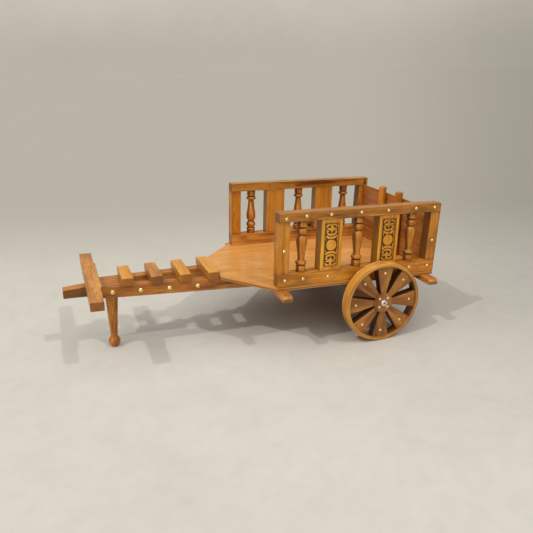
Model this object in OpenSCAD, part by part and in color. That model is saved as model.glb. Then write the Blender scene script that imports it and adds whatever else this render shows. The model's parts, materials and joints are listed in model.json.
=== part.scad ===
// Small decorative bullock cart: a deck board between two framed sides with
// turned balusters and carved panels, two spoked wheels on a beam, converging
// shaft rails with four rungs, a cross yoke and one front leg.
//
// The cart is drawn in its own frame: x runs forward from the foot of the
// sides' rear edge, y to the left and z up from the deck's top. place() stands
// it on the floor, on its wheels and its leg.

/* [Deck and sides] */
// Length of each side along the cart
side_length = 356; // [320:1:400]
// Width over the two sides
deck_width = 329; // [300:1:360]
// Thickness of the deck board
deck_thickness = 7; // [5:0.5:8]
// Forward end of the deck's nose
nose_x = 442; // [430:1:442]
// Width of the deck at its nose
nose_width = 128; // [110:1:150]
// Height of the sides above the deck
side_height = 149.5; // [140:0.5:160]
// Thickness of the sides
side_thickness = 24.5; // [24:0.5:28]
// Depth of the top rails
top_rail_depth = 18; // [14:0.5:22]
// Depth of the bottom rails
bottom_rail_depth = 27; // [22:0.5:32]
// Width of the front stiles
front_stile_width = 23; // [16:0.5:26]
// Width of the rear stiles
rear_stile_width = 23; // [20:0.5:28]
// How far the rear edge of a side leans back at the top
side_lean = 4; // [0:0.5:4]

/* [Balusters and panels] */
// Spacing of the three balusters in a side
baluster_pitch = 123.5; // [118:0.5:126]
// Distance of each carved panel from the middle baluster
panel_offset = 64.5; // [60:0.5:66]
// Width of a carved panel
panel_width = 45.5; // [36:0.5:48]
// Radius of a baluster's thickest ring
baluster_r = 11.2; // [9:0.1:12]

/* [Tailboard] */
// Thickness of the tailboard
tail_thickness = 4.2; // [3:0.1:4.5]
// Height of the tailboard
tail_height = 132; // [110:0.5:140]
// Diameter of the two upright grips
grip_d = 18; // [12:0.5:20]
// Distance between the grips
grip_spacing = 69.5; // [50:0.5:120]
// Depth of the grooves that hold the tailboard
groove_depth = 7; // [4:0.5:10]

/* [Wheels and axle] */
// Radius of the wheels
wheel_r = 84.5; // [80:0.5:88]
// Width of a wheel's rim
rim_width = 25; // [22:0.5:30]
// Radial thickness of a wheel's rim
rim_wall = 8; // [6:0.5:12]
// Thickness of the spokes
spoke_thickness = 18; // [12:0.5:18]
// Number of spokes in a wheel
spoke_count = 8; // [6:1:8]
// Radius of the hub plate
hub_r = 21.3; // [18:0.1:24]
// Distance of the axle below the deck's top
axle_drop = 46; // [44:0.5:48]
// Distance of the axle from the foot of the sides' rear edge
axle_x = 131.5; // [125:0.5:140]
// Gap between a wheel and the deck's edge
wheel_gap = 5.3; // [5:0.1:8]

/* [Shafts, yoke and leg] */
// Width of a shaft rail
rail_width = 23.5; // [20:0.5:26]
// Depth of a shaft rail
rail_depth = 23.5; // [20:0.5:25]
// Distance of the shaft rails' top below the deck's top
rail_drop = 9; // [8:0.5:10]
// Half width over the shaft rails at the deck's nose
rail_spread = 52.5; // [50:0.5:54]
// Sideways slope of the shaft rails along the cart
rail_slope = 0.0825; // [0.08:0.0005:0.085]
// Thickness of the rungs and the yoke
rung_thickness = 17; // [14:0.5:18]
// Width of a rung along the cart
rung_width = 23.6; // [18:0.1:24]
// Spacing of the rungs
rung_pitch = 57.6; // [54:0.1:57.6]
// Middle of the yoke from the foot of the sides' rear edge
yoke_x = 695; // [692:0.5:698]
// Length of the yoke
yoke_length = 303.5; // [260:0.5:340]
// Diameter of the pin hole in the yoke
pin_hole_d = 4; // [3:0.5:6]
// Forward end of the tongue
tongue_end = 750; // [735:1:780]
// Width of the tongue
tongue_width = 25; // [22:0.5:26]
// Distance of the leg from the foot of the sides' rear edge
leg_x = 657; // [652:1:660]
// Radius of the ball at the leg's foot
ball_r = 12.4; // [10:0.1:14]
// Distance of the ball's middle below the deck's top
ball_drop = 141.5; // [134:0.5:146]

/* [Hidden] */
$fn = 96;
side_pieces = [
    "top_rail", "bottom_rail", "front_stile", "rear_stile",
    "rear_baluster", "middle_baluster", "front_baluster",
    "rear_panel", "front_panel"];
wheel_pieces = ["wheel_rim", "wheel_spokes", "hub_plate", "axle_nut"];

// colours of the woods and metals
honey = [0.72, 0.45, 0.17];
pale = [0.82, 0.57, 0.30];
carved = [0.76, 0.53, 0.18];
reddish = [0.57, 0.33, 0.17];
steel = [0.75, 0.75, 0.74];

// sides: the rear edge starts behind the tailboard's groove
rear_lip = 3;
inner_half = deck_width / 2 - side_thickness;
opening_top = side_height - top_rail_depth;
baluster_height = opening_top - bottom_rail_depth;
side_middle = 180;

// tailboard: 0.5 mm of play in its grooves, 0.3 mm above the deck
tail_play = 0.5;
tail_lift = 0.3;
tail_back = -0.5;
grip_top = side_height - 2;

// beams under the deck
bearer_width = 21.3;
bearer_thickness = 12;
bearer_length = 391;
bearer_chamfer = 5;
front_bearer_x = 346.3;
rear_bearer_x = 14.8;
beam_width = 24;
beam_depth = 30;
beam_length = deck_width - 1;

// wheels: the spokes sit back from the rim's faces
axle_r = 3;
running_gap = 0.08;
wheel_inner = deck_width / 2 + wheel_gap;
wheel_outer = wheel_inner + rim_width;
spoke_recess = 3.3;
spoke_root = 4.4;
spoke_tip = 20.2;
hub_core_r = 17;
boss_r = 14;
nut_r = 7;
nut_height = 3.2;
nut_gap = 0.3;
nut_eye_r = 1.8;

// shafts
rail_back = rear_bearer_x - bearer_width / 2;
rail_front = yoke_x + 4;
rail_meet = nose_x + (rail_spread - rail_width - tongue_width / 2) / rail_slope;
rung_overhang = 4.5;
rung_start = nose_x + rung_width / 2 + 0.2;
tongue_back = rung_start + 3 * rung_pitch;
tongue_fall = 6.5;
tongue_depth = 24;
tongue_tip_depth = 17;
yoke_width = 25;
yoke_swell = 2.8;
yoke_swell_half = 76;
pin_hole_y = -54;
leg_top_half = 13.2;
leg_foot_half = 6.2;

// standing on the floor: the cart is pitched nose up so that the wheels and
// the ball of the leg both touch it, and its box is centred over the origin
stance_drop = ball_drop - axle_drop;
stance_reach = leg_x - axle_x;
pitch = atan2(stance_drop, stance_reach)
    - asin((wheel_r - ball_r) / norm([stance_reach, stance_drop]));
back_reach = stance_x(-rear_lip - side_lean, side_height);
front_reach = stance_x(tongue_end, tongue_tip(1)[1]);
axle_floor_x = -(back_reach + front_reach) / 2;

// where a point of the side view lies ahead of the axle once it is pitched
function stance_x(x, z) = (x - axle_x) * cos(pitch) - (z + axle_drop) * sin(pitch);
// rear edge of a side at a height
function rear_edge(z) = -rear_lip - side_lean * z / side_height;
// half width over the shaft rails
function rail_half(x) = rail_spread - rail_slope * (x - nose_x);
// top (0) and bottom (1) corners of the tongue's end
function tongue_tip(k) = [tongue_end, -rail_drop - tongue_fall - k * tongue_tip_depth];
// a swelling between two heights of a turned piece, in a number of steps
function swell(z0, z1, r0, r1, steps) =
    [for (i = [0:steps]) [r0 + (r1 - r0) * sin(180 * i / steps), z0 + (z1 - z0) * i / steps]];

module place() {
    translate([axle_floor_x, 0, wheel_r])
        rotate([0, -pitch, 0])
            translate([-axle_x, 0, axle_drop])
                children();
}

// puts what is drawn on the left side onto either side
module on_side(side) {
    place() mirror([0, side == "left" ? 0 : 1, 0]) children();
}

// an outline in the side view, extruded across the cart
module side_view(points, y0, y1) {
    translate([0, y1, 0]) rotate([90, 0, 0]) linear_extrude(y1 - y0) polygon(points);
}

module deck() {
    half = deck_width / 2;
    nose = nose_width / 2;
    color(pale) place()
        translate([0, 0, -deck_thickness]) linear_extrude(deck_thickness)
            polygon([
                [-rear_lip, -half], [side_length, -half], [nose_x, -nose],
                [nose_x, nose], [side_length, half], [-rear_lip, half]]);
}

module bearer(x) {
    half = bearer_length / 2;
    color(honey) place()
        translate([x - bearer_width / 2, 0, -deck_thickness]) rotate([90, 0, 90])
            linear_extrude(bearer_width)
                polygon([
                    [-half + bearer_chamfer, 0], [-half, -bearer_chamfer],
                    [-half, -bearer_thickness], [half, -bearer_thickness],
                    [half, -bearer_chamfer], [half - bearer_chamfer, 0]]);
}

module axle_beam() {
    color(honey) place()
        difference() {
            translate([axle_x - beam_width / 2, -beam_length / 2, -rail_drop - rail_depth - beam_depth])
                cube([beam_width, beam_length, beam_depth]);
            axle_rod(beam_length);
        }
}

module axle_rod(length) {
    translate([axle_x, length / 2, -axle_drop]) rotate([90, 0, 0]) cylinder(r = axle_r, h = length);
}

module axle() {
    color(steel) place() axle_rod(2 * (wheel_outer + nut_height / 2));
}

// the rails are notched over the bearers and cut to close on the tongue
module shaft_rail() {
    color(honey)
        difference() {
            translate([0, 0, -rail_drop - rail_depth]) linear_extrude(rail_depth)
                polygon([
                    [rail_back, rail_half(rail_back) - rail_width],
                    [rail_meet, tongue_width / 2],
                    [rail_front, tongue_width / 2],
                    [rail_front, rail_half(rail_front)],
                    [rail_back, rail_half(rail_back)]]);
            for (x = [rear_bearer_x, front_bearer_x])
                translate([x - bearer_width / 2, 0, -deck_thickness - bearer_thickness])
                    cube([bearer_width, deck_width, bearer_thickness]);
        }
}

module rung(k) {
    x = rung_start + (4 - k) * rung_pitch;
    half = rail_half(x) + rung_overhang;
    color(pale) place()
        translate([x - rung_width / 2, -half, -rail_drop])
            cube([rung_width, 2 * half, rung_thickness]);
}

module tongue() {
    half = tongue_width / 2;
    color(honey) place()
        side_view([
            [tongue_back, -rail_drop],
            [yoke_x - yoke_width / 2, -rail_drop],
            tongue_tip(0), tongue_tip(1),
            [leg_x + leg_top_half, -rail_drop - tongue_depth],
            [tongue_back, -rail_drop - tongue_depth]], -half, half);
}

module yoke() {
    half = yoke_length / 2;
    front = yoke_x + yoke_width / 2;
    back = yoke_x - yoke_width / 2;
    swollen = back - yoke_swell;
    knee = yoke_swell_half;
    color(pale) place()
        difference() {
            translate([0, 0, -rail_drop]) linear_extrude(rung_thickness)
                polygon([
                    [front, -half], [front, half], [back, half],
                    [back, knee + 4], [swollen, knee - 4],
                    [swollen, 4 - knee], [back, -knee - 4], [back, -half]]);
            translate([yoke_x, pin_hole_y, -rail_drop - 1]) cylinder(d = pin_hole_d, h = rung_thickness + 2);
        }
}

// an eight-sided taper on a ball: each of its faces is the edge of a slab that
// leans out by the taper
module stand_leg() {
    height = ball_drop - rail_drop - tongue_depth;
    taper = atan((leg_top_half - leg_foot_half) / height);
    slab = 4 * leg_top_half;
    color(honey) place()
        translate([leg_x, 0, -ball_drop])
            union() {
                sphere(r = ball_r);
                intersection() {
                    cylinder(r = slab, h = height);
                    intersection_for(a = [0:45:315])
                        rotate([0, 0, a]) translate([leg_foot_half, 0, 0]) rotate([0, taper, 0])
                            translate([-slab, -slab, -slab]) cube([slab, 2 * slab, height + 2 * slab]);
                }
            }
}

// a rail of the side frame between two heights, grooved for the tailboard
module side_rail(z0, z1) {
    color(honey)
        grooved()
            side_view([
                [rear_edge(z0), z0], [side_length, z0],
                [side_length, z1], [rear_edge(z1), z1]], inner_half, deck_width / 2);
}

module grooved() {
    difference() {
        children();
        translate([tail_back - tail_play, inner_half - 1, -1])
            cube([tail_thickness + 2 * tail_play, groove_depth + 1, side_height + 2]);
    }
}

module front_stile() {
    color(honey)
        translate([side_length - front_stile_width, inner_half, bottom_rail_depth])
            cube([front_stile_width, side_thickness, baluster_height]);
}

module rear_stile() {
    z0 = bottom_rail_depth;
    z1 = opening_top;
    color(honey)
        grooved()
            side_view([
                [rear_edge(z0), z0], [rear_edge(z0) + rear_stile_width, z0],
                [rear_edge(z1) + rear_stile_width, z1], [rear_edge(z1), z1]],
                inner_half, deck_width / 2);
}

// turned from square stock: block, bead, vase, ring and block, set upside
// down in the left side
module baluster(k, side) {
    h = baluster_height;
    x = side_middle + k * baluster_pitch;
    block = 0.86 * baluster_r;
    groove = 0.72 * baluster_r;
    neck = 0.62 * baluster_r;
    bulge = 0.96 * baluster_r;
    color(honey)
        translate([x, inner_half + side_thickness / 2, bottom_rail_depth + (side == "left" ? h : 0)])
            mirror([0, 0, side == "left" ? 1 : 0])
                rotate_extrude()
                    polygon(concat(
                        [[0, 0], [block, 0], [block, 0.115 * h], [groove, 0.135 * h]],
                        swell(0.15 * h, 0.265 * h, groove, bulge, 8),
                        swell(0.285 * h, 0.56 * h, neck, bulge, 12),
                        [[neck * 0.98, 0.765 * h]],
                        swell(0.785 * h, 0.85 * h, groove, baluster_r, 6),
                        [[groove, 0.865 * h], [block, 0.88 * h], [block, h], [0, h]]));
}

module carved_panel(k) {
    color(carved)
        translate([side_middle + k * panel_offset - panel_width / 2, inner_half, bottom_rail_depth])
            cube([panel_width, side_thickness, baluster_height]);
}

module wheel_ring(r0, r1, y0, y1) {
    translate([axle_x, y1, -axle_drop]) rotate([90, 0, 0])
        difference() {
            cylinder(r = r1, h = y1 - y0);
            translate([0, 0, -1]) cylinder(r = r0, h = y1 - y0 + 2);
        }
}

module wheel_rim() {
    color(honey) wheel_ring(wheel_r - rim_wall, wheel_r, wheel_inner, wheel_outer);
}

// wedge spokes cut from one board, with a boss towards the axle beam
module wheel_spokes() {
    y1 = wheel_outer - spoke_recess;
    y0 = y1 - spoke_thickness;
    bore = axle_r + running_gap;
    tip = wheel_r - rim_wall;
    color(reddish)
        union() {
            wheel_ring(bore, hub_core_r, y0, y1);
            wheel_ring(bore, boss_r, beam_length / 2 + 1, y0);
            translate([axle_x, y1, -axle_drop]) rotate([90, 0, 0])
                difference() {
                    intersection() {
                        cylinder(r = tip, h = spoke_thickness);
                        union()
                            for (k = [0:spoke_count - 1]) rotate(k * 360 / spoke_count)
                                linear_extrude(spoke_thickness)
                                    polygon([
                                        [-spoke_root, hub_core_r - 4], [spoke_root, hub_core_r - 4],
                                        [spoke_tip, tip + 4], [-spoke_tip, tip + 4]]);
                    }
                    translate([0, 0, -1]) cylinder(r = bore, h = spoke_thickness + 2);
                }
        }
}

module hub_plate() {
    color(reddish) wheel_ring(axle_r + running_gap, hub_r, wheel_outer - spoke_recess, wheel_outer);
}

// a round nut on the axle's end, with a small open eye
module axle_nut() {
    y = wheel_outer + nut_gap;
    color(steel)
        difference() {
            translate([axle_x, y, -axle_drop]) rotate([-90, 0, 0])
                rotate_extrude()
                    polygon(concat(
                        [[0, 0], [nut_r, 0], [nut_r, 0.4 * nut_height]],
                        [for (a = [15:15:75])
                            [nut_r - 3 + 3 * cos(a), (0.4 + 0.6 * sin(a)) * nut_height]],
                        [[nut_r - 3, nut_height], [0, nut_height]]));
            translate([axle_x, y + nut_height + 1, -axle_drop]) rotate([90, 0, 0])
                cylinder(r = nut_eye_r, h = nut_height + 2);
            axle_rod(2 * (wheel_outer + nut_height / 2));
        }
}

module tailboard() {
    half = inner_half + groove_depth - tail_play;
    color(reddish) place()
        translate([tail_back, -half, tail_lift])
            cube([tail_thickness, 2 * half, tail_height]);
}

module grip() {
    color(carved)
        translate([tail_back + tail_thickness + grip_d / 2, grip_spacing / 2, tail_lift])
            cylinder(d = grip_d, h = grip_top - tail_lift);
}

deck();
bearer(front_bearer_x);  // front_bearer
bearer(rear_bearer_x);  // rear_bearer
axle_beam();
axle();
tongue();
yoke();
stand_leg();
tailboard();
for (k = [1:4])
    rung(k);
for (s = ["left", "right"]) {
    on_side(s) shaft_rail();
    on_side(s) grip();
    on_side(s) side_rail(opening_top, side_height);
    on_side(s) side_rail(0, bottom_rail_depth);
    on_side(s) front_stile();
    on_side(s) rear_stile();
    on_side(s) baluster(-1, s);
    on_side(s) baluster(0, s);
    on_side(s) baluster(1, s);
    on_side(s) carved_panel(-1);
    on_side(s) carved_panel(1);
    on_side(s) wheel_rim();
    on_side(s) wheel_spokes();
    on_side(s) hub_plate();
    on_side(s) axle_nut();
}
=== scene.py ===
# Small wooden bullock cart: bevelled boards, turned balusters, carved panels,
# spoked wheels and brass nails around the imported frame, in metres.
import json
import math

import bmesh
import bpy
import numpy as np
from mathutils import Matrix, Vector


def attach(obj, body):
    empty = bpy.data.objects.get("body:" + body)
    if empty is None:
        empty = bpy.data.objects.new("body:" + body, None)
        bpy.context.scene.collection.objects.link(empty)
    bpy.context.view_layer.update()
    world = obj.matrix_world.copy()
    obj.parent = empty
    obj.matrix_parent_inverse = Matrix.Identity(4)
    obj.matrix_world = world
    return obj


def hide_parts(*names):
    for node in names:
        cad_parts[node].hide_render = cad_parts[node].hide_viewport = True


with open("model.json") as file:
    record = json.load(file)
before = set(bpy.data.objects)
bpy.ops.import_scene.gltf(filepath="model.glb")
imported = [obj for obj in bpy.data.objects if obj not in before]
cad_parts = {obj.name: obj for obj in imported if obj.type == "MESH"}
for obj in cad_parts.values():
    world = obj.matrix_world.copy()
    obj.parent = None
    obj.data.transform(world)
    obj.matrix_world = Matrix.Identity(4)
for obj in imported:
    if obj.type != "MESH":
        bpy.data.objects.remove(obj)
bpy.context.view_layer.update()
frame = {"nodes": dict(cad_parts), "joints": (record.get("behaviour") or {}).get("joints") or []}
print("frame loaded:", len(frame["nodes"]), "nodes")


# cart frame: x forward, y left, z up from the deck's top, x = 0 at the deck's rear edge
joints = {joint["name"]: joint for joint in frame["joints"]}
cartUp = Vector(joints["tailboard_lift"]["axis"]).normalized()
axleSpot = Vector(joints["left_wheel_spin"]["pos_m"])
noseUp = math.atan2(-cartUp.x, cartUp.z)
levelled = Matrix.Rotation(noseUp, 4, "Y") @ Matrix.Translation((-axleSpot.x, 0, -axleSpot.z))


def nodeBox(node, toFrame):
    spots = [toFrame @ vert.co for vert in frame["nodes"][node].data.vertices]
    low = Vector([min(spot[axis] for spot in spots) for axis in range(3)])
    high = Vector([max(spot[axis] for spot in spots) for axis in range(3)])
    return low, high


deckLow, deckHigh = nodeBox("deck", levelled)
rowToCart = Matrix.Translation((-deckLow.x, 0, -deckHigh.z)) @ levelled
cartToRow = rowToCart.inverted()


def cartBox(node):
    return nodeBox(node, rowToCart)


def boxMiddle(node):
    low, high = cartBox(node)
    return (low + high) / 2


hands = {"left": 1, "right": -1}                   # which way is out of the cart on each side


def outerFace(node, hand):                         # y of the node's face on that hand
    low, high = cartBox(node)
    return high.y if hand > 0 else low.y


axle = rowToCart @ Vector((axleSpot.x, 0, axleSpot.z))


# finishes
class Wire:                                        # one socket; a sum written on it adds its nodes
    def __init__(self, tree, socket=None):
        self.tree = tree
        self.socket = socket

    def node(self, kind, settings=None, inputs=None, output=0):
        made = self.tree.nodes.new(kind)
        for key, value in (settings or {}).items():
            if key == "stops":
                ramp = made.color_ramp.elements
                while len(ramp) < len(value):
                    ramp.new(0.5)
                for stop, (place, colour) in zip(ramp, value):
                    stop.position = place
                    stop.color = (*colour, 1)
            else:
                setattr(made, key, value)
        for key, value in (inputs or {}).items():
            if isinstance(value, Wire):
                self.tree.links.new(value.socket, made.inputs[key])
            elif isinstance(value, tuple) and made.inputs[key].type == "RGBA":
                made.inputs[key].default_value = (*value, 1)
            else:
                made.inputs[key].default_value = value
        return Wire(self.tree, made.outputs[output] if len(made.outputs) else None)

    def maths(self, operation, *values):
        return self.node("ShaderNodeMath", {"operation": operation}, dict(enumerate(values)))

    def __add__(self, other):
        return self.maths("ADD", self, other)

    def __sub__(self, other):
        return self.maths("SUBTRACT", self, other)

    def __rsub__(self, other):
        return self.maths("SUBTRACT", other, self)

    def __mul__(self, other):
        return self.maths("MULTIPLY", self, other)

    def __abs__(self):
        return self.maths("ABSOLUTE", self)

    __radd__ = __add__

    def stretched(self, scale, shift=(0, 0, 0)):
        return self.node("ShaderNodeVectorMath", {"operation": "MULTIPLY_ADD"}, {0: self, 1: scale, 2: shift})

    def noise(self, scale, shift=(0, 0, 0), detail=2.0, roughness=0.5, distortion=0.0):
        return self.node("ShaderNodeTexNoise", None, {
            "Vector": self.stretched(scale, shift), "Scale": 1.0, "Detail": detail,
            "Roughness": roughness, "Distortion": distortion})

    def eased(self, low, high):                    # smooth step from 0 at low to 1 at high
        return self.node("ShaderNodeMapRange", {"interpolation_type": "SMOOTHSTEP"}, {
            "Value": self, "From Min": low, "From Max": high})

    def part(self, axis):
        return self.node("ShaderNodeSeparateXYZ", None, {0: self}, axis)

    def along(self, way):
        return self.node("ShaderNodeVectorMath", {"operation": "DOT_PRODUCT"}, {0: self, 1: way}, 1)

    def unit(self):
        return self.node("ShaderNodeVectorMath", {"operation": "NORMALIZE"}, {0: self})

    def mixed(self, first, second):                # self is how much of second
        return self.node("ShaderNodeMix", {"data_type": "RGBA"}, {0: self, 6: first, 7: second}, 2)


def startFinish(name):
    finish = bpy.data.materials.new(name)
    finish.use_nodes = True
    tree = finish.node_tree
    tree.nodes.clear()
    return finish, Wire(tree)


def endFinish(start, colour, roughness, normal=None, **fixed):
    inputs = {"Base Color": colour, "Roughness": roughness}
    if normal:
        inputs["Normal"] = normal
    inputs.update({key.replace("_", " "): value for key, value in fixed.items()})
    shader = start.node("ShaderNodeBsdfPrincipled", None, inputs)
    start.node("ShaderNodeOutputMaterial", None, {"Surface": shader})


# colours from the dark to the light of the grain, metres from ring to ring, and how patchy the stain is
woods = {
    "frame": dict(dark=(0.17, 0.048, 0.007), mid=(0.55, 0.184, 0.011), light=(0.75, 0.325, 0.030),
                  ring=0.0048, stain=0.75),
    "rail": dict(dark=(0.13, 0.040, 0.008), mid=(0.42, 0.152, 0.014), light=(0.62, 0.275, 0.036),
                 ring=0.0042, stain=0.8),
    "shaft": dict(dark=(0.20, 0.065, 0.012), mid=(0.56, 0.215, 0.032), light=(0.76, 0.36, 0.072),
                  ring=0.0045, stain=0.7),
    "beam": dict(dark=(0.15, 0.045, 0.007), mid=(0.44, 0.148, 0.017), light=(0.64, 0.265, 0.038),
                 ring=0.0045, stain=0.75),
    "rung": dict(dark=(0.52, 0.190, 0.018), mid=(0.70, 0.290, 0.026), light=(0.82, 0.42, 0.052),
                 ring=0.0050, stain=0.6, end=(0.30, 0.098, 0.013)),
    "deck": dict(dark=(0.54, 0.220, 0.048), mid=(0.68, 0.300, 0.066), light=(0.79, 0.39, 0.092),
                 ring=0.0090, stain=0.35),
    "carved": dict(dark=(0.36, 0.118, 0.010), mid=(0.79, 0.325, 0.018), light=(0.93, 0.48, 0.043),
                   ring=0.0055, stain=0.4),
    "spoke": dict(dark=(0.12, 0.036, 0.008), mid=(0.35, 0.124, 0.021), light=(0.52, 0.218, 0.043),
                  ring=0.0045, stain=0.6),
    "hub": dict(dark=(0.11, 0.035, 0.010), mid=(0.36, 0.126, 0.032), light=(0.50, 0.20, 0.055),
                ring=0.0050, stain=0.6),
    "rim": dict(dark=(0.26, 0.090, 0.016), mid=(0.73, 0.312, 0.040), light=(0.91, 0.46, 0.085),
                ring=0.0038, stain=0.6),
    "tail": dict(dark=(0.27, 0.085, 0.018), mid=(0.43, 0.158, 0.031), light=(0.56, 0.24, 0.053),
                 ring=0.0075, stain=0.4),
}

# stretch of each pattern, per metre: along the grain, across it and through the board
patterns = dict(broad=(5.5, 42, 42), fibre=(34, 720, 720), pores=(170, 2100, 2100), patch=(11, 24, 24),
                grime=(45, 130, 130), lumps=(38, 60, 60))
depths = dict(rings=0.14, broad=0.70, fibre=0.34, base=0.07)
reliefs = dict(fibre=0.35, rings=0.25, pores=0.55, lumps=2.2, knot=0.8)
# how strongly each mark shows
# underside and face marks are painted shade, the sawn mark stain and painted shade, the worn mark wear and
# painted highlight
marks = dict(grime=0.5, pores=0.35, endGrain=0.68, below=0.75, back=0.5, sawn=0.90, butted=0.45, knot=0.8,
             edge=0.65, wearAndHighlight=0.40, wornHighlight=0.30, burnt=0.80, darkHollowsFibre=0.25)
# how dark each mark is against the wood's own dark or middle colour
shades = dict(patch=0.55, below=0.5, stained=0.55, sawn=0.42, knot=0.55, edge=0.8, wornHighlight=1.15)
tones = dict(hollowTone=(0.045, 0.016, 0.006), panelBack=(0.42, 0.170, 0.036), plyFace=(0.58, 0.26, 0.055),
             plyCore=(0.26, 0.095, 0.022))
varnish = dict(rough=0.34, fibreRough=0.16, poreRough=0.15, endRough=0.12, darkHollowsRough=0.25, coat=0.20,
               coatRough=0.12, specular=0.30, bump=0.5, bumpDepth=0.00028)


def shaded(colour, share):
    return tuple(min(1.0, share * part) for part in colour)


def turnAlong(direction):
    return tuple((cartToRow.to_3x3() @ Vector(direction)).to_track_quat("X", "Z").to_euler())


# some marks paint shade into the colour: undersides, faces that look along or across the cart, and partly sawn
# faces
def woodFinish(name, look, along=(1, 0, 0), middle=(0, 0, 0), half=0.0, seed=0, followsPiece=False,
               knots=(), plies=0.0, burnt=False, stained=(0.0, 0.0), backs=0, cutStain=1.0):
    wood = woods[look]
    cutTone = wood.get("end", wood["dark"])
    finish, start = startFinish(name)
    if followsPiece:                               # grain laid along each spoke or round the rim
        local = start.node("ShaderNodeAttribute", {"attribute_name": "grain"}, None, 1)
        sawn = start.node("ShaderNodeAttribute", {"attribute_name": "sawn"}, None, 2)
        facing = None
    else:
        turn = turnAlong(along)
        place = start.node("ShaderNodeTexCoord", None, None, 3)
        local = place.node("ShaderNodeMapping", {"vector_type": "TEXTURE"}, {
            "Vector": place, "Location": tuple(cartToRow @ Vector(middle)), "Rotation": turn})
        facing = place.node("ShaderNodeMapping", {"vector_type": "TEXTURE"}, {
            "Vector": start.node("ShaderNodeTexCoord", None, None, 1), "Rotation": turn})
    shift = (seed * 0.731, seed * 1.317, seed * 0.519)
    pith = (shift[0], 0.055 + 0.011 * math.sin(seed * 2.1), 0.030 * math.cos(seed * 1.7))

    rings = start.node("ShaderNodeTexWave", {
        "wave_type": "RINGS", "rings_direction": "X", "wave_profile": "SAW"}, {
        "Vector": local.stretched((0.07, 1, 1), pith), "Scale": 2 * math.pi / (20 * wood["ring"]),
        "Distortion": 3.2, "Detail": 2.5, "Detail Scale": 0.9, "Detail Roughness": 0.55}, 1)
    broad = local.noise(patterns["broad"], shift, 3.0, 0.55, 0.4)
    fibre = local.noise(patterns["fibre"], shift, 2.0, 0.6)
    pores = local.noise(patterns["pores"], shift, 1.0, 0.5).eased(0.62, 0.74)
    patch = local.noise(patterns["patch"], shift, 2.0, 0.6)
    grime = local.noise(patterns["grime"], shift, 3.0, 0.65).eased(0.50, 0.72)
    lumps = local.noise(patterns["lumps"], shift, 1.0, 0.5)

    depth = rings * depths["rings"] + broad * depths["broad"] + fibre * depths["fibre"] - depths["base"]
    colour = depth.node("ShaderNodeValToRGB", {"stops": [
        (0.34, wood["dark"]), (0.50, wood["mid"]), (0.69, wood["light"])]}, {0: depth})
    colour = (patch.eased(0.52, 0.72) * wood["stain"]).mixed(colour, shaded(wood["mid"], shades["patch"]))
    colour = (grime * (marks["grime"] * wood["stain"])).mixed(colour, wood["dark"])
    colour = (pores * marks["pores"]).mixed(colour, wood["dark"])
    rough = varnish["rough"] + fibre * varnish["fibreRough"] + pores * varnish["poreRough"]
    height = fibre * reliefs["fibre"] + rings * reliefs["rings"] - pores * reliefs["pores"]
    height = height + lumps * reliefs["lumps"]

    if facing:                                     # end grain drinks more stain
        endGrain = abs(facing.part(0)).eased(0.75, 0.95)
        colour = (endGrain * (marks["endGrain"] * cutStain)).mixed(colour, cutTone)
        rough = rough + endGrain * varnish["endRough"]
        lookout = start.node("ShaderNodeTexCoord", None, None, 1)
        below = (0.0 - lookout.part(2)).eased(0.4, 0.9)          # painted shade: undersides darker
        colour = (below * (marks["below"] * cutStain)).mixed(colour, shaded(wood["dark"], shades["below"]))
        for axis, amount in enumerate(stained):    # painted shade on some faces that look along or across the cart
            if amount:
                shadedSide = abs(lookout.part(axis)).eased(0.50, 0.95)
                colour = (shadedSide * amount).mixed(colour, shaded(wood["dark"], shades["stained"]))
        if backs:                                  # the plain back of a panel is duller
            back = (lookout.part(1) * -backs).eased(0.5, 0.95)
            colour = (back * marks["back"]).mixed(colour, tones["panelBack"])
    else:
        # stain on sawn faces and painted shade: the spokes' sides, the inside and the flat faces of the rim
        colour = (sawn * marks["sawn"]).mixed(colour, shaded(wood["dark"], shades["sawn"]))
    if half:                                       # darker where it butts against its neighbours
        ends = abs(local.part(0)).eased(half - 0.010, half + 0.001)
        colour = (ends * marks["butted"]).mixed(colour, wood["dark"])
    for spot, size in knots:
        reach = start.node("ShaderNodeVectorMath", {"operation": "DISTANCE"}, {
            0: local.stretched((0.5, 1, 0.6)), 1: (spot[0] * 0.5, spot[1], spot[2] * 0.6)}, 1)
        reach = reach + (broad - 0.5) * (size * 0.9)
        knot = 1 - reach.eased(size * 0.35, size)
        colour = (knot * marks["knot"]).mixed(colour, shaded(wood["dark"], shades["knot"]))
        height = height - knot * reliefs["knot"]
    if plies:                                      # veneers show along a sawn board edge
        board = abs(facing.part(2)).eased(0.5, 0.8)
        core = 1 - abs(local.part(2) + 0.0004).eased(plies * 0.30, plies * 0.48)
        colour = (1 - board).mixed(colour, core.mixed(tones["plyFace"], tones["plyCore"]))
    edge = start.node("ShaderNodeAttribute", {"attribute_name": "edge"}, None, 2)
    # wear and painted highlight: some rounded edges turn lighter instead of darker
    wearAndHighlight = edge * patch.eased(0.40, 0.60)
    colour = (edge * marks["edge"] - wearAndHighlight * marks["wearAndHighlight"]).mixed(colour, shaded(cutTone, shades["edge"]))
    colour = (wearAndHighlight * marks["wornHighlight"]).mixed(colour, shaded(wood["light"], shades["wornHighlight"]))
    if burnt:                                      # carved ground and turned grooves, darker
        ground = start.node("ShaderNodeAttribute", {"attribute_name": "burnt"}, None, 2)
        hollowDarkening = ground * (marks["burnt"] + fibre * marks["darkHollowsFibre"])
        colour = hollowDarkening.mixed(colour, tones["hollowTone"])
        rough = rough + ground * varnish["darkHollowsRough"]
    normal = start.node("ShaderNodeBump", None, {
        "Strength": varnish["bump"], "Distance": varnish["bumpDepth"], "Height": height})
    endFinish(start, colour, rough, normal, Coat_Weight=varnish["coat"], Coat_Roughness=varnish["coatRough"],
              Specular_IOR_Level=varnish["specular"])
    return finish


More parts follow.
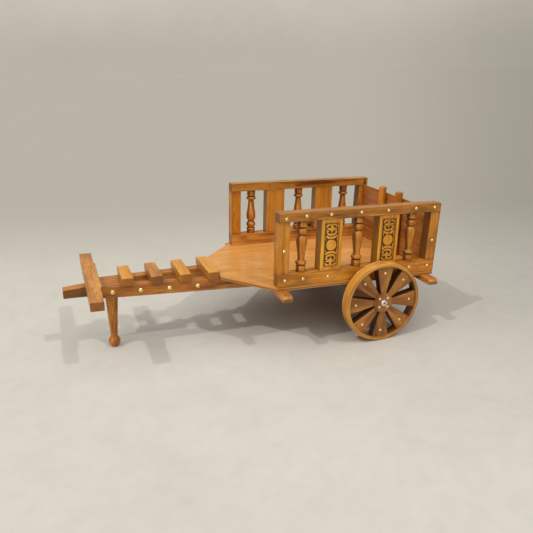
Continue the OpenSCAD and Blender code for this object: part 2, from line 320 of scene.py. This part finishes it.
metals = dict(cloud=(420, 420, 420), scratch=(2600, 2600, 300), dull=0.45, uneven=0.18, bump=0.25,
              bumpDepth=0.0001)


def metalFinish(name, colour, roughness, mottle, metal=1.0):
    finish, start = startFinish(name)
    place = start.node("ShaderNodeTexCoord", None, None, 3)
    cloud = place.noise(metals["cloud"], (3, 5, 7), 3.0, 0.6)
    scratch = place.noise(metals["scratch"], (1, 2, 3), 1.0, 0.5)
    shade = (cloud.eased(0.35, 0.75) * mottle).mixed(colour, shaded(colour, metals["dull"]))
    normal = start.node("ShaderNodeBump", None, {
        "Strength": metals["bump"], "Distance": metals["bumpDepth"], "Height": scratch + cloud})
    endFinish(start, shade, roughness + cloud * metals["uneven"], normal, Metallic=metal)
    return finish


# shapes
def finishPiece(bm, name, finish, body, replaces, sharpAngle=35, inCart=False, evenNormals=True):
    if inCart:
        bm.transform(cartToRow)
    sharp = math.radians(sharpAngle)
    for face in bm.faces:
        face.smooth = True
    for edge in bm.edges:
        edge.smooth = len(edge.link_faces) == 2 and edge.calc_face_angle() < sharp
    mesh = bpy.data.meshes.new(name)
    bm.to_mesh(mesh)
    bm.free()
    piece = bpy.data.objects.new(name, mesh)
    bpy.context.scene.collection.objects.link(piece)
    for material in finish if isinstance(finish, list) else [finish]:
        mesh.materials.append(material)
    if evenNormals:
        even = piece.modifiers.new("even normals", "WEIGHTED_NORMAL")
        even.keep_sharp = True
    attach(piece, body)
    if replaces:
        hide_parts(*([replaces] if isinstance(replaces, str) else replaces))


def markEdges(bm, rounded):
    mark = bm.verts.layers.float.get("edge") or bm.verts.layers.float.new("edge")
    rounded = set(rounded)
    for vert in bm.verts:
        if all(face in rounded for face in vert.link_faces):
            vert[mark] = 1.0


def easeEdges(bm, width, segments=2, chosen=None):
    edges = chosen or [edge for edge in bm.edges
                       if len(edge.link_faces) == 2 and edge.calc_face_angle() > math.radians(30)]
    made = bmesh.ops.bevel(bm, geom=edges, offset=width, segments=segments, profile=0.5, affect="EDGES",
                           material=-1, clamp_overlap=True)
    markEdges(bm, made["faces"])


def addTo(bm, other):
    held = bpy.data.meshes.new("held")
    other.to_mesh(held)
    other.free()
    bm.from_mesh(held)
    bpy.data.meshes.remove(held)


def cadCopy(node):
    bm = bmesh.new()
    bm.from_mesh(frame["nodes"][node].data)
    bmesh.ops.remove_doubles(bm, verts=bm.verts, dist=1e-5)
    bmesh.ops.dissolve_limit(bm, angle_limit=math.radians(0.5), verts=bm.verts, edges=bm.edges)
    return bm


def easedBoard(node, piece, look, width, slot, body="chassis", along=(1, 0, 0), seed=0, ends=False, **extra):
    low, high = cartBox(node)
    bm = cadCopy(node)
    easeEdges(bm, width)
    axis = max(range(3), key=lambda k: abs(along[k]))
    finish = woodFinish(piece + "_finish", look, along, (low + high) / 2,
                        (high[axis] - low[axis]) / 2 if ends else 0.0, seed, **extra)
    finishPiece(bm, piece, finish, body, node)


def spun(profile, steps=48):                       # (radius, height) pairs round the z axis
    bm = bmesh.new()
    verts = [bm.verts.new((radius, 0, height)) for radius, height in profile]
    for first, second in zip(verts, verts[1:]):
        bm.edges.new((first, second))
    bmesh.ops.spin(bm, geom=bm.verts[:] + bm.edges[:], cent=(0, 0, 0), axis=(0, 0, 1),
                   angle=2 * math.pi, steps=steps, use_merge=True)
    bmesh.ops.remove_doubles(bm, verts=bm.verts, dist=1e-6)
    bmesh.ops.recalc_face_normals(bm, faces=bm.faces)
    return bm


# deck, beams and shafts
deck = dict(edge=0.0007, plies=0.0028,
            knots=[((0.128, 0.040, 0.0035), 0.0032), ((-0.06, -0.07, 0.0035), 0.00256)])
easedBoard("deck", "deck_board", "deck", deck["edge"], "deck_wood", seed=3, knots=deck["knots"],
           plies=deck["plies"])

beams = dict(edge=0.0012, round=0.0016)
crossBars = {"front_bearer": ("front_bearer_bar", "shaft"), "rear_bearer": ("rear_bearer_bar", "shaft"),
             "axle_beam": ("axle_beam_block", "hub")}
for seed, (node, (piece, look)) in enumerate(crossBars.items()):
    easedBoard(node, piece, look, beams["edge"], "frame_wood", along=(0, 1, 0), seed=10 + seed)

shafts = dict(slope=0.0825, outerY=0.0525, atX=0.445)       # they draw together by this slope, from there
for seed, (side, hand) in enumerate(hands.items()):
    easedBoard(side + "_shaft_rail", side + "_shaft_bar", "beam", beams["edge"], "frame_wood",
               along=(1, -hand * shafts["slope"], 0), seed=14 + seed)
# painted shade on the tongue's sides, standing for the yoke's shadow
easedBoard("tongue", "tongue_bar", "beam", beams["edge"], "frame_wood", seed=17, stained=(0.0, 0.75))

yokeKnots = [((-0.046, 0.004, 0.0085), 0.0028), ((0.078, -0.003, 0.0085), 0.0022),
             ((0.105, 0.002, 0.0085), 0.0018)]
easedBoard("yoke", "yoke_bar", "shaft", beams["round"], "deck_wood", along=(0, 1, 0), seed=21, knots=yokeKnots)
# painted shade on the rungs' faces that look along the cart; stronger end stain and painted shade underneath
for k in (1, 2, 3, 4):
    easedBoard(f"rung_{k}", f"rung_bar_{k}", "shaft" if k == 2 else "rung", beams["round"], "deck_wood",
               along=(0, 1, 0), seed=23 + k, stained=(0.5, 0.0), cutStain=1.25)
print("deck and shafts made")

# leg: an eight-sided taper on a ball
leg = dict(sides=8, top=0.0140, foot=0.0067, corner=0.0008, ball=0.0124, turn=22.5, cutStain=0.15)
legLow, legHigh = cartBox("stand_leg")
ballZ = legLow.z + leg["ball"]
legX = boxMiddle("stand_leg").x
bm = bmesh.new()
height = legHigh.z - ballZ
bmesh.ops.create_cone(bm, cap_ends=True, segments=leg["sides"], radius1=leg["foot"], radius2=leg["top"],
                      depth=height)
bmesh.ops.rotate(bm, verts=bm.verts, cent=(0, 0, 0), matrix=Matrix.Rotation(math.radians(leg["turn"]), 3, "Z"))
bmesh.ops.translate(bm, verts=bm.verts, vec=(legX, 0, ballZ + height / 2))
easeEdges(bm, leg["corner"])
bmesh.ops.create_uvsphere(bm, u_segments=32, v_segments=20, radius=leg["ball"],
                          matrix=Matrix.Translation((legX, 0, ballZ)))
finish = woodFinish("stand_leg_turned_finish", "frame", (0, 0, 1), boxMiddle("stand_leg"), seed=31,
                    cutStain=leg["cutStain"])
finishPiece(bm, "stand_leg_turned", finish, "chassis", "stand_leg", inCart=True)
print("leg made")

# side frames
sides = dict(edge=0.0013, stileEdge=0.0010, balusterSteps=40, grooveReach=0.020)
for sideSeed, side, bottomLook in ((40, "left", "frame"), (60, "right", "shaft")):
    easedBoard(side + "_top_rail", side + "_top_rail_bar", "rail", sides["edge"], "frame_wood", seed=sideSeed)
    easedBoard(side + "_bottom_rail", side + "_bottom_rail_bar", bottomLook, sides["edge"], "frame_wood",
               seed=sideSeed + 1)
    # painted shade on the rear stiles' faces that look along the cart
    for k, (place, stain) in enumerate({"front": 0.0, "rear": 0.80}.items()):
        node = f"{side}_{place}_stile"
        easedBoard(node, node + "_bar", "frame", sides["stileEdge"], "frame_wood", along=(0, 0, 1),
                   seed=sideSeed + 2 + k, ends=True, stained=(stain, 0.0))

# turned profile from the plain block upwards: share of height, share of the thickest radius
turning = [
    (0.000, 0.00), (0.000, 0.84), (0.004, 0.86), (0.085, 0.86), (0.092, 0.93), (0.104, 0.98), (0.115, 0.93),
    (0.123, 0.80), (0.131, 0.68), (0.139, 0.68), (0.148, 0.80), (0.165, 0.90), (0.185, 0.96), (0.207, 0.98),
    (0.230, 0.94), (0.252, 0.84), (0.266, 0.72), (0.274, 0.62), (0.284, 0.60), (0.293, 0.66), (0.310, 0.80),
    (0.340, 0.90), (0.380, 0.96), (0.415, 0.97), (0.460, 0.93), (0.510, 0.86), (0.570, 0.77), (0.640, 0.69),
    (0.700, 0.63), (0.750, 0.60), (0.770, 0.60), (0.779, 0.68), (0.786, 0.84), (0.797, 0.95), (0.812, 1.00),
    (0.828, 1.00), (0.841, 0.94), (0.850, 0.82), (0.857, 0.68), (0.866, 0.68), (0.873, 0.80), (0.882, 0.86),
    (0.996, 0.86), (1.000, 0.84), (1.000, 0.00)]
grooves = (0.135, 0.279, 0.862)                    # their heights, darkened
for sideSeed, side in ((46, "left"), (66, "right")):
    for k, place in enumerate(("rear", "middle", "front")):
        node = f"{side}_{place}_baluster"
        low, high = cartBox(node)
        tall, radius, middle = high.z - low.z, (high.y - low.y) / 2, (low + high) / 2
        bm = spun([(radius * share, tall * (level - 0.5)) for level, share in turning], sides["balusterSteps"])
        mark = bm.verts.layers.float.new("burnt")
        for vert in bm.verts:
            level = vert.co.z / tall + 0.5
            vert[mark] = max(0.0, 1 - min(abs(level - groove) for groove in grooves) / sides["grooveReach"])
        if side == "left":
            bmesh.ops.rotate(bm, verts=bm.verts, cent=(0, 0, 0), matrix=Matrix.Rotation(math.pi, 3, "X"))
        bmesh.ops.translate(bm, verts=bm.verts, vec=middle)
        # painted shade on the balusters' sides that look along the cart
        finish = woodFinish(node + "_turned_finish", "frame", (0, 0, 1), middle, tall / 2, sideSeed + k,
                            burnt=True, stained=(0.70, 0.0))
        finishPiece(bm, node + "_turned", finish, "chassis", node, sharpAngle=50, inCart=True,
                    evenNormals=False)
print("side frames made")

# carved panels
carving = dict(border=0.0092, wall=0.0003, pocket=0.0024, ground=0.0010, disc=0.0112, groove=0.0016,
               across=64, along=212, soft=0.00028, edge=0.0005, proud=0.00015, lap=0.0001,
               leafSteps=26, leafThin=0.34, leafFull=0.78, leafStart=0.12, leafBlunt=0.6)
# raised leaves of the upper half, right of the middle line: bezier corners and half width, in millimetres
leaves = [
    (((0.0, 12.0), (0.0, 22.0), (0.0, 33.0)), 0.95),
    (((0.2, 15.2), (6.8, 13.2), (11.8, 19.8)), 2.05),
    (((0.2, 21.4), (7.4, 19.6), (10.6, 27.2)), 1.85),
    (((10.6, 27.2), (9.8, 31.0), (6.2, 27.8)), 1.35),
    (((0.6, 28.6), (2.8, 34.0), (10.8, 33.4)), 1.85),
    (((0.0, 32.0), (0.0, 37.0), (0.0, 42.4)), 2.65),
    (((3.8, 41.6), (8.8, 42.2), (12.2, 36.6)), 1.80),
    (((12.4, 9.6), (12.7, 14.0), (12.4, 17.4)), 0.95)]


def carvedHeights(across, along, halfWide, halfTall):   # 0 on the ground, 1 where the wood is left proud
    columns, rows = np.linspace(-halfWide, halfWide, across + 1), np.linspace(-halfTall, halfTall, along + 1)
    u, v = np.abs(np.meshgrid(columns, rows))
    proud = carving["disc"] - np.hypot(u, v)
    start, full = carving["leafStart"], carving["leafFull"]
    for (first, bend, last), width in leaves:
        for t in np.linspace(0, 1, carving["leafSteps"]):
            x = (1 - t) ** 2 * first[0] + 2 * t * (1 - t) * bend[0] + t * t * last[0]
            y = (1 - t) ** 2 * first[1] + 2 * t * (1 - t) * bend[1] + t * t * last[1]
            swell = math.sin(math.pi * min(1.0, start + (1 - start) * t)) ** carving["leafBlunt"]
            wide = width * (carving["leafThin"] + full * swell)
            proud = np.maximum(proud, wide * 0.001 - np.hypot(u - x * 0.001, v - y * 0.001))
    groove = np.hypot(u, v) - carving["disc"]
    proud = np.where((groove > 0) & (groove < carving["groove"]), -groove, proud)
    soft = np.clip(proud / carving["soft"] * 0.5 + 0.5, 0, 1)
    return soft * soft * (3 - 2 * soft)


def carvedPanel(node, piece, hand, seed):
    low, high = cartBox(node)
    middle = (low + high) / 2
    out = Vector((0, hand, 0))
    bm = cadCopy(node)
    bm.transform(rowToCart)
    bm.faces.ensure_lookup_table()
    face = max(bm.faces, key=lambda item: item.normal.dot(out))
    bmesh.ops.inset_individual(bm, faces=[face], thickness=carving["border"], depth=0)
    bmesh.ops.inset_individual(bm, faces=[face], thickness=carving["wall"], depth=-carving["pocket"])
    easeEdges(bm, carving["edge"])
    bm.verts.layers.float.new("burnt")
    halfWide = (high.x - low.x) / 2 - carving["border"]
    halfTall = (high.z - low.z) / 2 - carving["border"]
    across, along = carving["across"], carving["along"]
    proud = carvedHeights(across, along, halfWide, halfTall)
    relief = bmesh.new()
    mark = relief.verts.layers.float.new("burnt")
    bmesh.ops.create_grid(relief, x_segments=across, y_segments=along, size=1)
    for vert in relief.verts:
        column = round((vert.co.x + 1) / 2 * across)
        row = round((vert.co.y + 1) / 2 * along)
        rim = column in (0, across) or row in (0, along)
        level = 0.0 if rim else float(proud[row, column])
        vert[mark] = 1.0 - level
        vert.co = (vert.co.x * halfWide, vert.co.y * halfTall,
                   (level - 1) * carving["ground"] + level * carving["proud"])
    rimEdges = [edge for edge in relief.edges if edge.is_boundary]
    skirt = bmesh.ops.extrude_edge_only(relief, edges=rimEdges)["geom"]
    lowered = [item for item in skirt if isinstance(item, bmesh.types.BMVert)]
    skirtFoot = carving["ground"] - carving["pocket"] + carving["lap"]
    bmesh.ops.translate(relief, verts=lowered, vec=(0, 0, skirtFoot))
    bmesh.ops.contextual_create(relief, geom=[item for item in skirt if isinstance(item, bmesh.types.BMEdge)])
    relief.transform(Matrix(((-hand, 0, 0, middle.x), (0, 0, hand, outerFace(node, hand)),
                             (0, 1, 0, middle.z), (0, 0, 0, 1))))
    bmesh.ops.recalc_face_normals(relief, faces=relief.faces)
    addTo(bm, relief)
    # painted shade on the panels' faces that look along the cart
    finish = woodFinish(piece + "_finish", "carved", (0, 0, 1), middle, (high.z - low.z) / 2, seed, burnt=True,
                        stained=(0.85, 0.0), backs=hand)
    finishPiece(bm, piece, finish, "chassis", node, sharpAngle=60, inCart=True)


for sideSeed, side in ((50, "left"), (70, "right")):
    for k, place in enumerate(("rear", "front")):
        node = f"{side}_{place}_panel"
        carvedPanel(node, node + "_carved", hands[side], sideSeed + k)
print("panels carved")

# wheels
# how dark the rim's flat faces get is stain and painted shade
wheel = dict(rimDepth=0.008, rimRound=0.0027, rimSteps=128, faceStainAndShade=0.26, grainR=0.08, grainStep=0.31,
             spokes=8, spokeEdge=0.0009, root=0.0045, tip=0.0193, rootR=0.0130, tipR=0.0780, wedgeWide=0.018,
             bore=0.00308, core=0.0170, coreShy=0.0008, boss=0.0140, bossEdge=0.0005, hubRound=0.0010,
             nailR=0.063, hubNailR=0.0132, nail=0.0029)


def ring(innerR, outerR, y0, y1, ease, steps=96):  # a spun ring round the axle, in the cart frame
    bm = spun([(innerR, y0), (outerR, y0), (outerR, y1), (innerR, y1), (innerR, y0)], steps)
    if ease:
        round4 = [edge for edge in bm.edges if edge.calc_face_angle() > math.radians(60)]
        easeEdges(bm, ease, segments=4, chosen=round4)
    bm.transform(Matrix.Translation(axle) @ Matrix.Rotation(-math.pi / 2, 4, "X"))
    bm.normal_update()
    return bm


def layGrain(bm, way, cut=None):                   # way(face) gives place -> (along, across, through)
    grain = bm.loops.layers.float_vector.get("grain") or bm.loops.layers.float_vector.new("grain")
    sawn = bm.loops.layers.float.get("sawn") or bm.loops.layers.float.new("sawn")
    for face in bm.faces:
        lay = way(face)
        # stain on sawn faces and painted shade
        stained = float(cut(face)) if cut else 0.0
        for loop in face.loops:
            loop[grain] = lay(loop.vert.co - axle)
            loop[sawn] = stained


def roundRim(face):
    spot = face.calc_center_median() - axle
    turn = math.atan2(spot.x, spot.z)

    def lay(rel):
        angle = math.atan2(rel.x, rel.z)
        angle += 2 * math.pi * round((turn - angle) / (2 * math.pi))
        return (angle * wheel["grainR"], math.hypot(rel.x, rel.z), rel.y)
    return lay


def rimStainAndShade(face):                                # stain and painted shade: all of the inside, some of the flat faces
    inward = face.normal.dot(face.calc_center_median() - axle) < 0
    return 1.0 if inward and abs(face.normal.y) < 0.7 else wheel["faceStainAndShade"] * abs(face.normal.y)


def plain(face):
    return lambda rel: (rel.z, rel.x, rel.y)


def wheelPiece(bm, node, piece, look, body, seed):
    bmesh.ops.recalc_face_normals(bm, faces=bm.faces)
    finish = woodFinish(piece + "_finish", look, seed=seed, followsPiece=True)
    finishPiece(bm, piece, finish, body, node, sharpAngle=50, inCart=True)


for sideSeed, side in ((80, "left"), (84, "right")):
    body = side + "_wheel"
    hand = hands[side]
    rimLow, rimHigh = cartBox(side + "_wheel_rim")
    rimR = (rimHigh.x - rimLow.x) / 2
    bm = ring(rimR - wheel["rimDepth"], rimR, rimLow.y, rimHigh.y, wheel["rimRound"], wheel["rimSteps"])
    layGrain(bm, roundRim, rimStainAndShade)
    wheelPiece(bm, side + "_wheel_rim", side + "_wheel_rim_bent", "rim", body, sideSeed)

    outer, bossEnd = (outerFace(side + "_wheel_spokes", way) for way in (hand, -hand))
    inner = outer - hand * wheel["wedgeWide"]
    bm = bmesh.new()
    for k in range(wheel["spokes"]):
        wedge = bmesh.new()
        bmesh.ops.create_cube(wedge, size=1)
        for vert in wedge.verts:
            far = vert.co.z > 0
            vert.co = (math.copysign(wheel["tip"] if far else wheel["root"], vert.co.x),
                       outer if vert.co.y * hand > 0 else inner, wheel["tipR"] if far else wheel["rootR"])
        easeEdges(wedge, wheel["spokeEdge"])
        wedge.transform(Matrix.Translation((axle.x, 0, axle.z)))
        # the spokes' sides get stain on the sawn faces and painted shade
        layGrain(wedge, lambda face, k=k: lambda rel: (rel.z + k * wheel["grainStep"], rel.x, rel.y),
                 lambda face: abs(face.normal.y) < 0.5)
        bmesh.ops.rotate(wedge, verts=wedge.verts, cent=axle,
                         matrix=Matrix.Rotation(k * 2 * math.pi / wheel["spokes"], 3, "Y"))
        addTo(bm, wedge)
    coreEnd = outer - hand * wheel["coreShy"]
    for radius, y0, y1 in ((wheel["core"], inner, coreEnd), (wheel["boss"], bossEnd, inner)):
        part = ring(wheel["bore"], radius, min(y0, y1), max(y0, y1), wheel["bossEdge"], 48)
        layGrain(part, plain)
        addTo(bm, part)
    wheelPiece(bm, side + "_wheel_spokes", side + "_wheel_wedges", "spoke", body, sideSeed + 1)

    plateLow, plateHigh = cartBox(side + "_hub_plate")
    bm = ring(wheel["bore"], (plateHigh.x - plateLow.x) / 2, plateLow.y, plateHigh.y, wheel["hubRound"], 64)
    layGrain(bm, plain)
    wheelPiece(bm, side + "_hub_plate", side + "_hub_disc", "hub", body, sideSeed + 2)

steel = metalFinish("nut_steel_finish", (0.78, 0.78, 0.77), 0.22, 0.35)
brass = metalFinish("nail_brass_finish", (0.90, 0.71, 0.27), 0.20, 0.25, metal=0.75)
oiled = metalFinish("axle_steel_finish", (0.10, 0.095, 0.085), 0.45, 0.30)
nutEdge = 0.0003
for side in hands:
    bm = cadCopy(side + "_axle_nut")
    easeEdges(bm, nutEdge)
    finishPiece(bm, side + "_axle_cap", steel, "chassis", side + "_axle_nut")
frame["nodes"]["axle"].data.materials.clear()
frame["nodes"]["axle"].data.materials.append(oiled)
print("wheels made")

# tailboard
tail = dict(edge=0.0009, gripTop=0.0022, gripFoot=0.001, gripSteps=40, cutStain=0.2)
easedBoard("tailboard", "tailboard_board", "tail", tail["edge"], "tail_wood", body="tailboard", along=(0, 1, 0),
           seed=90)
for seed, side in enumerate(hands):
    node = side + "_grip"
    low, high = cartBox(node)
    radius, middle, half = (high.y - low.y) / 2, (low + high) / 2, (high.z - low.z) / 2
    foot, top = tail["gripFoot"], tail["gripTop"]
    profile = [(0, -half), (radius - foot, -half), (radius, -half + foot), (radius, half - top)]
    for turn in (22.5, 45, 67.5, 90):
        angle = math.radians(turn)
        profile.append((radius - top + top * math.cos(angle), half - top + top * math.sin(angle)))
    bm = spun(profile + [(0, half)], tail["gripSteps"])
    bmesh.ops.translate(bm, verts=bm.verts, vec=middle)
    finish = woodFinish(side + "_grip_dowel_finish", "frame", (0, 0, 1), middle, seed=92 + seed,
                        cutStain=tail["cutStain"])
    finishPiece(bm, side + "_grip_dowel", finish, "tailboard", node, inCart=True)
print("tailboard made")

# nails
nail = dict(small=0.0034, large=0.0050, dome=0.55, sunk=0.0003, round=12, tall=8, stileDrop=0.0047,
            shaftShift=0.0040, railRise=0.0006, frontDrop=0.0030)
# how far each side nail sits ahead of its part's middle, in the top and in the bottom rail
nailShift = {"front_stile": (-0.0035, -0.0038), "front_baluster": (-0.0045, -0.0016),
             "front_panel": (0.0023, 0.0029), "middle_baluster": (0.0005, 0.0), "rear_panel": (0.0035, 0.0020),
             "rear_baluster": (-0.0025, 0.0008), "rear_stile": (0.0025, 0.0055)}


def nailHeads(name, body, spots, radius):          # spots: (place, way out) in the cart frame
    bm = bmesh.new()
    for place, out in spots:
        out = Vector(out).normalized()
        seat = Vector(place) - out * nail["sunk"]
        turn = out.to_track_quat("Z", "Y").to_matrix().to_4x4()
        stand = Matrix.Translation(seat) @ turn @ Matrix.Diagonal((1, 1, nail["dome"], 1))
        made = bmesh.ops.create_uvsphere(bm, u_segments=nail["round"], v_segments=nail["tall"], radius=radius,
                                         matrix=stand)["verts"]
        faces = {face for vert in made for face in vert.link_faces}
        edges = {edge for vert in made for edge in vert.link_edges}
        cut = bmesh.ops.bisect_plane(bm, geom=[*made, *edges, *faces], plane_co=seat, plane_no=-out,
                                     clear_outer=True)["geom_cut"]
        bmesh.ops.contextual_create(bm, geom=[item for item in cut if isinstance(item, bmesh.types.BMEdge)])
    bmesh.ops.recalc_face_normals(bm, faces=bm.faces)
    finishPiece(bm, name, brass, body, None, sharpAngle=60, inCart=True, evenNormals=False)


def onWheel(radius, angle, y):
    return (axle.x + radius * math.sin(angle), y, axle.z + radius * math.cos(angle))


rungs = [boxMiddle(f"rung_{k}").x for k in (1, 2, 3, 4)]
for side, hand in hands.items():
    out = (0, hand, 0)
    face = outerFace(side + "_top_rail", hand)
    spots = []
    for row, level in enumerate(("top", "bottom")):
        tall = boxMiddle(f"{side}_{level}_rail").z
        for part, shift in nailShift.items():
            drop = nail["frontDrop"] if (part, level) == ("front_stile", "top") else 0.0
            x = boxMiddle(f"{side}_{part}").x + shift[row]
            spots.append(((x, face, tall + nail["railRise"] - drop), out))
    for part, lower in (("front_stile", 1.0), ("rear_stile", 2.0)):
        spot = boxMiddle(f"{side}_{part}")
        spots.append(((spot.x, face, spot.z - lower * nail["stileDrop"]), out))
    nailHeads(side + "_side_nails", "chassis", spots, nail["small"])

    level = boxMiddle(side + "_shaft_rail").z
    between = [(first + second) / 2 + nail["shaftShift"] for first, second in zip(rungs, rungs[1:])]
    spots = [((x, hand * (shafts["outerY"] - shafts["slope"] * (x - shafts["atX"])), level),
              (shafts["slope"], hand, 0)) for x in [legX] + between]
    nailHeads(side + "_shaft_nails", "chassis", spots, nail["large"])

    spokeY, plateY = outerFace(side + "_wheel_spokes", hand), outerFace(side + "_hub_plate", hand)
    spots = [(onWheel(wheel["nailR"], k * 2 * math.pi / wheel["spokes"], spokeY), out)
             for k in range(wheel["spokes"])]
    spots += [(onWheel(wheel["hubNailR"], (k + 0.5) * math.pi / 2, plateY), out) for k in range(4)]
    nailHeads(side + "_wheel_nails", side + "_wheel", spots, wheel["nail"])
print("nails made")

# floor, light and camera
floorLook = dict(radius=30.0, near=(0.66, 0.63, 0.565), far=(0.44, 0.415, 0.358), depth=(1.1, 2.4), cloud=0.12,
                 blotch=0.10, speck=0.08, dimDepth=(0.6, 1.5), shadeFalloff=0.30, rough=0.85, specular=0.1)
wallLook = dict(horizon=(0.493, 0.457, 0.383), wall=(0.60, 0.550, 0.478), cloud=0.25, shadeFalloff=0.24)
darker = (0.42, 0.40, 0.35)                        # of the cloudiness in both
black = (0, 0, 0)
# a fixed place on the floor, the foot of the camera, and two fixed ways from it; painted shade: the floor
# darkens ahead of it, and floor and wall darken to the right, for light that falls off; it stays put in every
# view
layout = dict(standpoint=(0.364, 1.144, 0), right=(-0.94, 0.341, 0), ahead=(-0.341, -0.94, 0),
              dimFrom=(0.10, 0.50))
skyLight = dict(low=(0.02, 0.02, 0.019), top=(1.24, 1.22, 1.19), softboxWay=(0.30, 0.25, 0.92),
                lampWay=(0.55, 0.78, 0.30), lamp=(5.0, 4.9, 4.7))
bm = bmesh.new()
bmesh.ops.create_circle(bm, cap_ends=True, segments=96, radius=floorLook["radius"])
mesh = bpy.data.meshes.new("floor")
bm.to_mesh(mesh)
bm.free()
floor = bpy.data.objects.new("floor", mesh)
bpy.context.scene.collection.objects.link(floor)
finish, start = startFinish("floor_paint")
place = start.node("ShaderNodeTexCoord", None, None, 3)
cloud = place.noise((2.6, 2.6, 2.6), (4, 1, 0), 4.0, 0.6, 0.6)
speck = place.noise((38, 38, 38), (2, 7, 0), 3.0, 0.6)
blotch = place.noise((13, 13, 13), (6, 2, 0), 3.0, 0.6, 0.4)
away = start.node("ShaderNodeVectorMath", {"operation": "SUBTRACT"}, {0: place, 1: layout["standpoint"]})
ahead = away.along(layout["ahead"])
# painted shade: the floor darker further ahead
tone = ahead.eased(*floorLook["depth"]).mixed(floorLook["near"], floorLook["far"])
cloudy = cloud.eased(0.35, 0.7) * floorLook["cloud"] + blotch.eased(0.35, 0.7) * floorLook["blotch"]
tone = (cloudy + speck.eased(0.35, 0.7) * floorLook["speck"]).mixed(tone, darker)
# painted shade: the floor darker to the right, more so further ahead
shadeFalloff = away.unit().along(layout["right"]).eased(*layout["dimFrom"]) * ahead.eased(*floorLook["dimDepth"])
tone = (shadeFalloff * floorLook["shadeFalloff"]).mixed(tone, black)
normal = start.node("ShaderNodeBump", None, {"Strength": 0.1, "Distance": 0.001, "Height": speck})
endFinish(start, tone, floorLook["rough"], normal, Specular_IOR_Level=floorLook["specular"])
mesh.materials.append(finish)

world = bpy.data.worlds.new("studio")
bpy.context.scene.world = world
world.use_nodes = True
world.node_tree.nodes.clear()
start = Wire(world.node_tree)
direction = start.node("ShaderNodeTexCoord", None, None, 0)
rise = direction.part(2)
reach = direction.along(skyLight["softboxWay"])
softbox = (reach.eased(0.1, 0.95) * rise.eased(0.05, 0.6)).mixed(skyLight["low"], skyLight["top"])
wall = rise.eased(0.0, 0.12).mixed(wallLook["horizon"], wallLook["wall"])
cloud = direction.noise((9, 9, 9), (1, 2, 3), 4.0, 0.6).eased(0.35, 0.7)
wall = (cloud * wallLook["cloud"]).mixed(wall, darker)
# painted shade: the wall darker to the right
wall = (direction.along(layout["right"]).eased(*layout["dimFrom"]) * wallLook["shadeFalloff"]).mixed(wall, black)
# the camera sees the plain wall, and so do reflections in what faces it; the light itself is the soft box
cameraRay = start.node("ShaderNodeLightPath", None, None, 0)
glossyRay = start.node("ShaderNodeLightPath", None, None, 3)
mirrored = glossyRay * (0.0 - direction.part(1)).eased(-0.1, 0.5)
seen = cameraRay.maths("MAXIMUM", cameraRay, mirrored).mixed(softbox, wall)
glint = glossyRay * direction.along(skyLight["lampWay"]).eased(0.93, 0.98)
seen = glint.mixed(seen, skyLight["lamp"])         # a lamp that only shows as highlights on rounded edges
shader = start.node("ShaderNodeBackground", None, {"Color": seen, "Strength": 1.0})
start.node("ShaderNodeOutputWorld", None, {"Surface": shader})

lamps = {"key": dict(comesFrom=(-0.38, 0.70, 1.0), strength=0.66, spread=1.8),
         "side": dict(comesFrom=(0.72, 0.24, 1.0), strength=0.74, spread=1.5)}
lampColour = (1.0, 0.98, 0.95)
for name, lamp in lamps.items():
    light = bpy.data.lights.new(name, "SUN")
    light.energy = lamp["strength"]
    light.angle = math.radians(lamp["spread"])
    light.color = lampColour
    holder = bpy.data.objects.new(name, light)
    holder.location = Vector(lamp["comesFrom"]) * 2
    holder.rotation_mode = "QUATERNION"
    holder.rotation_quaternion = Vector(lamp["comesFrom"]).to_track_quat("Z", "Y")
    bpy.context.scene.collection.objects.link(holder)

shot = dict(target=(-0.0504, 0, 0.1274), azimuth=160.07, elevation=19.61, roll=-1.356, distance=1.2922,
            lens=39.09)
a, e = math.radians(shot["azimuth"]), math.radians(shot["elevation"])
back = Vector((math.sin(a) * math.cos(e), -math.cos(a) * math.cos(e), math.sin(e)))
camera = bpy.data.objects.new("camera", bpy.data.cameras.new("camera"))
camera.data.lens = shot["lens"]
camera.location = Vector(shot["target"]) + back * shot["distance"]
camera.rotation_mode = "QUATERNION"
roll = Matrix.Rotation(math.radians(shot["roll"]), 3, "Z")
camera.rotation_quaternion = (-back).to_track_quat("-Z", "Y") @ roll.to_quaternion()
camera.data.clip_start, camera.data.clip_end = 0.02, 60
bpy.context.scene.collection.objects.link(camera)
bpy.context.scene.camera = camera
bpy.context.scene.view_settings.view_transform = "Standard"
print("floor, lights and camera set")
